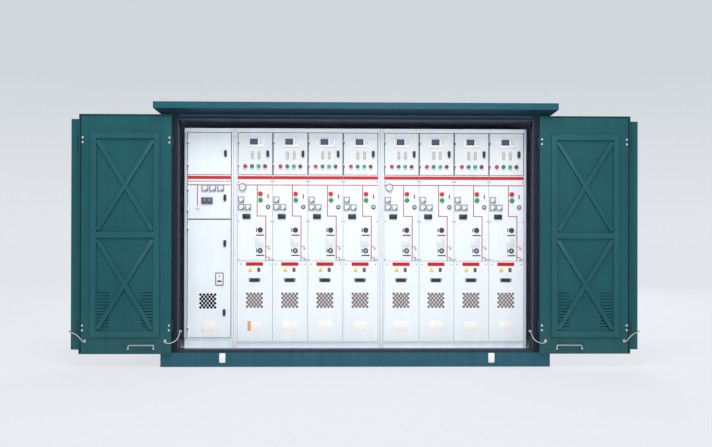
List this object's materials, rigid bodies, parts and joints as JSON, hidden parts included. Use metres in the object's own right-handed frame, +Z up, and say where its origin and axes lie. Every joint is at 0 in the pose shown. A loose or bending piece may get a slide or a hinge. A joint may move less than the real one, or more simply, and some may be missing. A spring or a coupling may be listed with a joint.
{
  "type": "outdoor switching station",
  "caption": "Outdoor switching station: a green sheet-steel housing with folded-back doors over a row of white switchgear cabinets with hinged relay doors.",
  "frame": {"origin": "on the ground under the middle of the housing", "axes": "+Z up, -Y towards the open doors, +X to the right as a person faces them"},
  "size_m": [5.598, 1.64, 2.603],
  "materials": {
    "green_enamel": "satin",
    "white_enamel": "satin",
    "dark_steel": "matte",
    "bright_steel": "satin",
    "black_plastic": "matte",
    "lamp_plastic": "gloss",
    "earth_braid": "matte"
  },
  "bodies": {
    "housing": {"bank_housings": "white_enamel", "base_cross_channels": "green_enamel", "base_long_channels": "green_enamel", "cabinet_headers": "white_enamel", "cabinet_plinths": "white_enamel", "cable_covers": "white_enamel", "ceiling_panel": "dark_steel", "corner_posts": "green_enamel", "door_frame_head": "dark_steel", "door_frame_posts": "dark_steel", "door_hinges": "bright_steel", "door_sill": "dark_steel", "drive_sockets": "bright_steel", "earth_studs": "bright_steel", "filler_posts": "white_enamel", "floor_plate": "dark_steel", "leaf_handles": "bright_steel", "leaf_hinges": "green_enamel", "left_back_leaf": "green_enamel", "left_front_leaf": "green_enamel", "left_inner_strap": "earth_braid", "left_leaf_stiffeners": "green_enamel", "left_outer_strap": "earth_braid", "lintel": "green_enamel", "mimic_panels": "white_enamel", "panel_lamps": "lamp_plastic", "panel_meters": "black_plastic", "pressure_gauges": "black_plastic", "rear_wall": "green_enamel", "relay_box_backs": "white_enamel", "relay_partitions": "white_enamel", "right_back_leaf": "green_enamel", "right_front_leaf": "green_enamel", "right_inner_strap": "earth_braid", "right_leaf_stiffeners": "green_enamel", "right_outer_strap": "earth_braid", "roof_cap": "green_enamel", "selector_switches": "black_plastic", "side_walls": "green_enamel", "vt_back_panel": "white_enamel", "vt_fascia_strip": "white_enamel", "vt_shelves": "white_enamel", "vt_side_panels": "white_enamel"},
    "relay_door_1": {"relay_door_1": "white_enamel"},
    "relay_door_2": {"relay_door_2": "white_enamel"},
    "relay_door_3": {"relay_door_3": "white_enamel"},
    "relay_door_4": {"relay_door_4": "white_enamel"},
    "relay_door_5": {"relay_door_5": "white_enamel"},
    "relay_door_6": {"relay_door_6": "white_enamel"},
    "relay_door_7": {"relay_door_7": "white_enamel"},
    "relay_door_8": {"relay_door_8": "white_enamel"},
    "vt_upper_door": {"vt_upper_door": "white_enamel"},
    "vt_meter_door": {"vt_meter_door": "white_enamel"},
    "vt_lower_door": {"vt_lower_door": "white_enamel"}
  },
  "joints": [
    {"name": "relay_door_1_hinge", "type": "hinge", "parent": "housing", "child": "relay_door_1", "pos_m": [-1.171, -0.557, 2.097], "axis": [0, 0, -1], "range_deg": [0, 110]},
    {"name": "relay_door_2_hinge", "type": "hinge", "parent": "housing", "child": "relay_door_2", "pos_m": [-0.821, -0.557, 2.097], "axis": [0, 0, -1], "range_deg": [0, 110]},
    {"name": "relay_door_3_hinge", "type": "hinge", "parent": "housing", "child": "relay_door_3", "pos_m": [-0.471, -0.557, 2.097], "axis": [0, 0, -1], "range_deg": [0, 110]},
    {"name": "relay_door_4_hinge", "type": "hinge", "parent": "housing", "child": "relay_door_4", "pos_m": [-0.121, -0.557, 2.097], "axis": [0, 0, -1], "range_deg": [0, 110]},
    {"name": "relay_door_5_hinge", "type": "hinge", "parent": "housing", "child": "relay_door_5", "pos_m": [0.288, -0.557, 2.097], "axis": [0, 0, -1], "range_deg": [0, 110]},
    {"name": "relay_door_6_hinge", "type": "hinge", "parent": "housing", "child": "relay_door_6", "pos_m": [0.638, -0.557, 2.097], "axis": [0, 0, -1], "range_deg": [0, 110]},
    {"name": "relay_door_7_hinge", "type": "hinge", "parent": "housing", "child": "relay_door_7", "pos_m": [0.988, -0.557, 2.097], "axis": [0, 0, -1], "range_deg": [0, 110]},
    {"name": "relay_door_8_hinge", "type": "hinge", "parent": "housing", "child": "relay_door_8", "pos_m": [1.338, -0.557, 2.097], "axis": [0, 0, -1], "range_deg": [0, 110]},
    {"name": "vt_upper_door_hinge", "type": "hinge", "parent": "housing", "child": "vt_upper_door", "pos_m": [-1.672, -0.557, 2.097], "axis": [0, 0, -1], "range_deg": [0, 90]},
    {"name": "vt_meter_door_hinge", "type": "hinge", "parent": "housing", "child": "vt_meter_door", "pos_m": [-1.672, -0.557, 1.635], "axis": [0, 0, -1], "range_deg": [0, 90]},
    {"name": "vt_lower_door_hinge", "type": "hinge", "parent": "housing", "child": "vt_lower_door", "pos_m": [-1.672, -0.557, 0.857], "axis": [0, 0, -1], "range_deg": [0, 90]}
  ]
}
